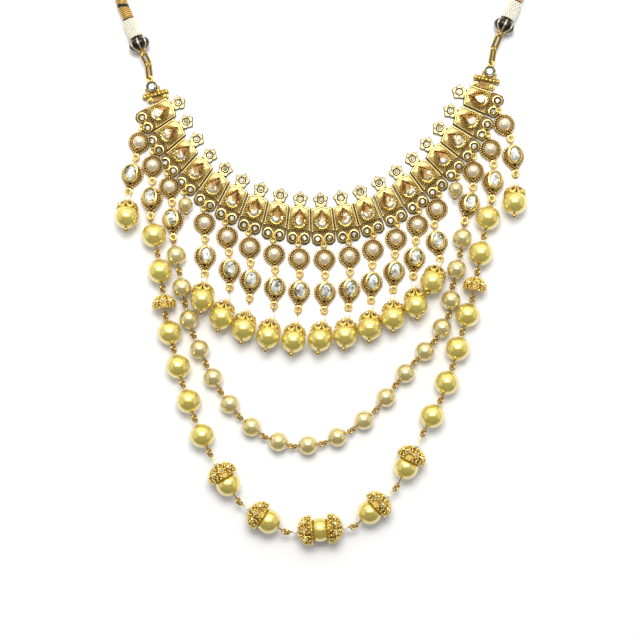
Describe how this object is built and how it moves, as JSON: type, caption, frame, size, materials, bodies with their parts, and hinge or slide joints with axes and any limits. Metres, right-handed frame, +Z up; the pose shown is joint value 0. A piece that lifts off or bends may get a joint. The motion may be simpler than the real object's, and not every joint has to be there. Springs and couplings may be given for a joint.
{
  "type": "kundan necklace",
  "caption": "Kundan collar necklace lying flat: jewelled panels on an arc, hanging pearl drops, two pearl strands and a wrapped cord that closes the loop with a slide bead.",
  "frame": {"origin": "centre of the jewelled part's bounding box, on the surface that it lies on", "axes": "+Z up from the surface, +Y from the pendant end towards the nape, +X to the right seen from above"},
  "size_m": [0.1822, 0.3225, 0.0123],
  "materials": {
    "panel_gold": "pale satin gold plate, slightly worn",
    "setting_gold": "antiqued milled gold plate",
    "bright_gold": "bright filigree gold plate",
    "wire_gold": "drawn gold wire",
    "amber_stone": "foil-backed champagne amber glass",
    "clear_stone": "foil-backed clear glass",
    "pink_pearl": "soft pinkish white pearl",
    "gold_pearl": "bright yellow-gold pearl",
    "champagne_pearl": "champagne gold pearl",
    "dark_melon": "near-black lobed bead with pale ribs",
    "white_beads": "wrapped white seed beads",
    "wrapped_cord": "gold thread wound round a cord"
  },
  "bodies": {
    "root": {"collar_panel_01": "panel_gold", "collar_panel_02": "panel_gold", "collar_panel_03": "panel_gold", "collar_panel_04": "panel_gold", "collar_panel_05": "panel_gold", "collar_panel_06": "panel_gold", "collar_panel_07": "panel_gold", "collar_panel_08": "panel_gold", "collar_panel_09": "panel_gold", "collar_panel_10": "panel_gold", "collar_panel_11": "panel_gold", "collar_panel_12": "panel_gold", "collar_panel_13": "panel_gold", "collar_panel_14": "panel_gold", "collar_panel_15": "panel_gold", "collar_panel_16": "panel_gold", "collar_panel_17": "panel_gold", "collar_panel_18": "panel_gold", "collar_panel_19": "panel_gold", "tear_stones": "amber_stone", "pearl_settings": "setting_gold", "half_pearls": "pink_pearl", "oval_settings": "setting_gold", "oval_stones": "clear_stone", "drop_pearls": "gold_pearl", "lone_pearls": "gold_pearl", "drop_caps": "bright_gold", "drop_pins": "wire_gold", "inner_strand_pearls": "champagne_pearl", "inner_strand_pins": "wire_gold", "outer_strand_pearls": "gold_pearl", "outer_strand_caps": "bright_gold", "dome_caps": "bright_gold", "outer_strand_pins": "wire_gold", "end_piece_left": "setting_gold", "end_piece_right": "setting_gold", "end_stones": "clear_stone", "link_left_1": "wire_gold", "link_left_2": "wire_gold", "link_right_1": "wire_gold", "link_right_2": "wire_gold", "melon_cap_left": "dark_melon", "melon_cap_right": "dark_melon", "sleeve_left": "white_beads", "sleeve_right": "white_beads", "cord": "wrapped_cord", "slide_bead": "setting_gold"}
  },
  "joints": []
}
